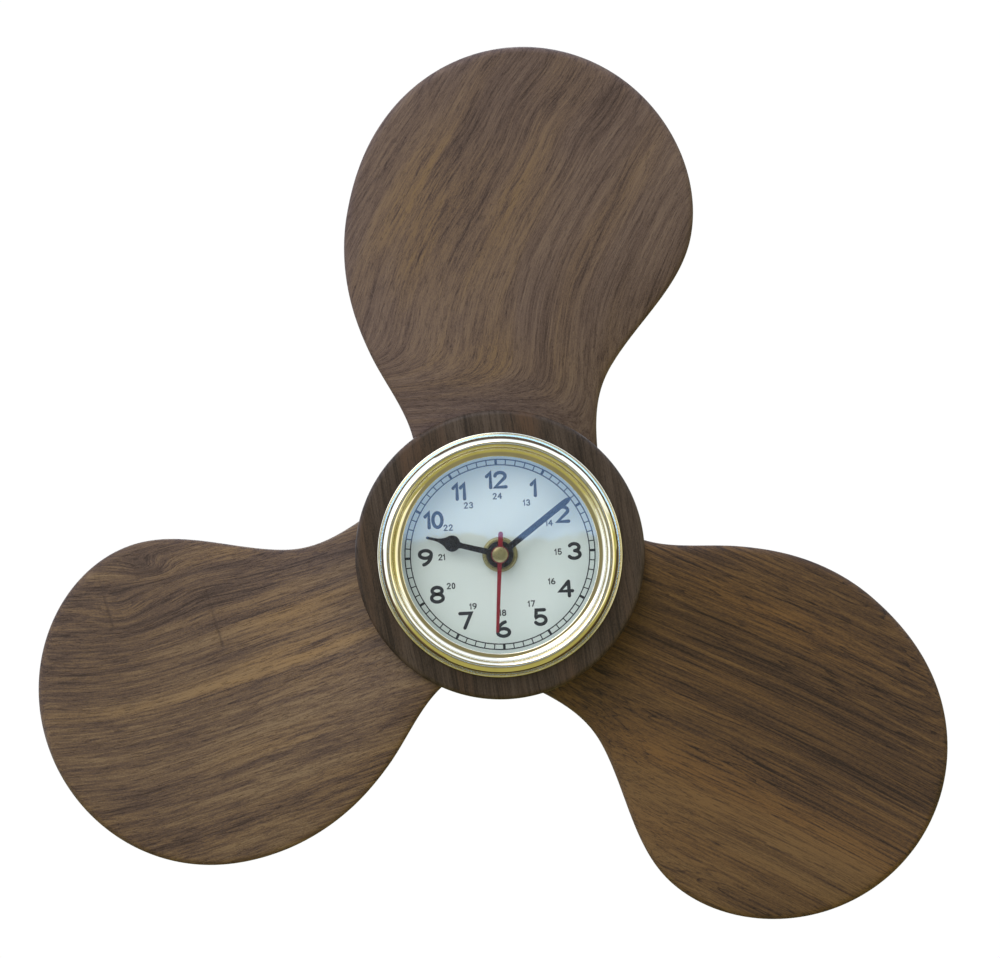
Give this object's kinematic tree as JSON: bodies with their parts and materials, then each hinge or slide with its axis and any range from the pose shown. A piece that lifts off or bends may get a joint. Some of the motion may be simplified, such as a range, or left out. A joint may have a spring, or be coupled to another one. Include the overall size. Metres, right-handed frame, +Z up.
{
  "type": "wooden propeller wall clock",
  "caption": "Decorative wooden ship's propeller with rounded pitched blades and a turned hub that holds a quartz clock behind a brass bezel and flat glass; hangs on a wall.",
  "frame": {"origin": "centre of the wall screw in the narrow end of the keyhole, on the wall plane at the hub's back face", "axes": "+X to the right and +Z up as the clock is read, +Y from the dial towards the wall; the clock faces -Y"},
  "size_m": [0.3053, 0.0425, 0.2936],
  "materials": {
    "blade_wood": "oiled dark streaky hardwood",
    "hub_wood": "turned dark hardwood",
    "dowel_wood": "plain beech",
    "brass": "polished",
    "glass": "flat clear",
    "dial_paint": "satin silver white",
    "steel": "plain",
    "rubber": "matt",
    "black_plastic": "moulded",
    "white_plastic": "moulded",
    "black_paint": "gloss black",
    "red_paint": "gloss red",
    "battery_jacket": "printed jacket",
    "copper": "enamelled wire",
    "board": "green lacquer"
  },
  "bodies": {
    "propeller": {"hub": "hub_wood", "blade_top": "blade_wood", "blade_left": "blade_wood", "blade_right": "blade_wood", "dowel_top_a": "dowel_wood", "dowel_top_b": "dowel_wood", "dowel_left_a": "dowel_wood", "dowel_left_b": "dowel_wood", "dowel_right_a": "dowel_wood", "dowel_right_b": "dowel_wood", "hanger_plate": "brass", "hanger_screw_left": "steel", "hanger_screw_right": "steel", "bezel": "brass", "grip_sleeve": "rubber", "retaining_ring": "steel", "glass": "glass", "spacer_ring": "white_plastic", "dial": "dial_paint", "dial_pan": "steel", "cushion_washer": "rubber", "dial_washer": "brass", "dial_nut": "brass", "movement_case": "black_plastic", "movement_lid": "black_plastic", "train_bridge": "white_plastic", "stator": "steel", "coil_core": "steel", "coil_bobbin": "white_plastic", "coil_winding": "copper", "circuit_board": "board", "control_chip": "black_plastic", "crystal": "steel", "contact_positive": "steel", "contact_negative": "steel"},
    "battery": {"battery": "battery_jacket"},
    "seconds": {"second_hand": "red_paint", "second_cap": "brass", "seconds_wheel": "white_plastic"},
    "step": {"step_wheel": "white_plastic"},
    "rotor": {"rotor": "steel"},
    "third": {"third_wheel": "white_plastic"},
    "centre": {"centre_wheel": "brass"},
    "minutes": {"minute_hand": "black_paint", "minute_arbor": "steel"},
    "minute_work": {"minute_wheel": "white_plastic"},
    "hours": {"hour_hand": "black_paint", "hour_wheel": "white_plastic"},
    "setting": {"setting_knob": "white_plastic"}
  },
  "joints": [
    {"name": "battery_slide", "type": "slide", "parent": "propeller", "child": "battery", "axis": [0, 1, 0], "range_m": [0, 0.016]},
    {"name": "second_hand_turn", "type": "hinge", "parent": "propeller", "child": "seconds", "pos_m": [0, 0, -0.0439], "axis": [0, 1, 0], "continuous": true},
    {"name": "step_wheel_turn", "type": "hinge", "parent": "propeller", "child": "step", "pos_m": [-0.00088, 0, -0.03386], "axis": [0, 1, 0], "continuous": true},
    {"name": "rotor_turn", "type": "hinge", "parent": "propeller", "child": "rotor", "pos_m": [0.00574, 0, -0.0283], "axis": [0, 1, 0], "continuous": true},
    {"name": "third_wheel_turn", "type": "hinge", "parent": "propeller", "child": "third", "pos_m": [0.01015, 0, -0.0402], "axis": [0, 1, 0], "continuous": true},
    {"name": "centre_wheel_turn", "type": "hinge", "parent": "propeller", "child": "centre", "pos_m": [0, 0, -0.0439], "axis": [0, 1, 0], "continuous": true},
    {"name": "minute_hand_turn", "type": "hinge", "parent": "propeller", "child": "minutes", "pos_m": [0, 0, -0.0439], "axis": [0, 1, 0], "continuous": true},
    {"name": "minute_wheel_turn", "type": "hinge", "parent": "propeller", "child": "minute_work", "pos_m": [-0.00707, 0, -0.03683], "axis": [0, 1, 0], "continuous": true},
    {"name": "hour_hand_turn", "type": "hinge", "parent": "propeller", "child": "hours", "pos_m": [0, 0, -0.0439], "axis": [0, 1, 0], "continuous": true},
    {"name": "setting_knob_turn", "type": "hinge", "parent": "propeller", "child": "setting", "pos_m": [-0.01414, 0, -0.02976], "axis": [0, 1, 0], "continuous": true}
  ],
  "couplings": [
    {"joint": "step_wheel_turn", "follows": "second_hand_turn", "ratio": -6},
    {"joint": "rotor_turn", "follows": "second_hand_turn", "ratio": 30},
    {"joint": "third_wheel_turn", "follows": "second_hand_turn", "ratio": -0.13333},
    {"joint": "centre_wheel_turn", "follows": "second_hand_turn", "ratio": 0.016667},
    {"joint": "minute_wheel_turn", "follows": "minute_hand_turn", "ratio": -0.33333},
    {"joint": "hour_hand_turn", "follows": "minute_hand_turn", "ratio": 0.083333},
    {"joint": "setting_knob_turn", "follows": "minute_hand_turn", "ratio": 1}
  ]
}
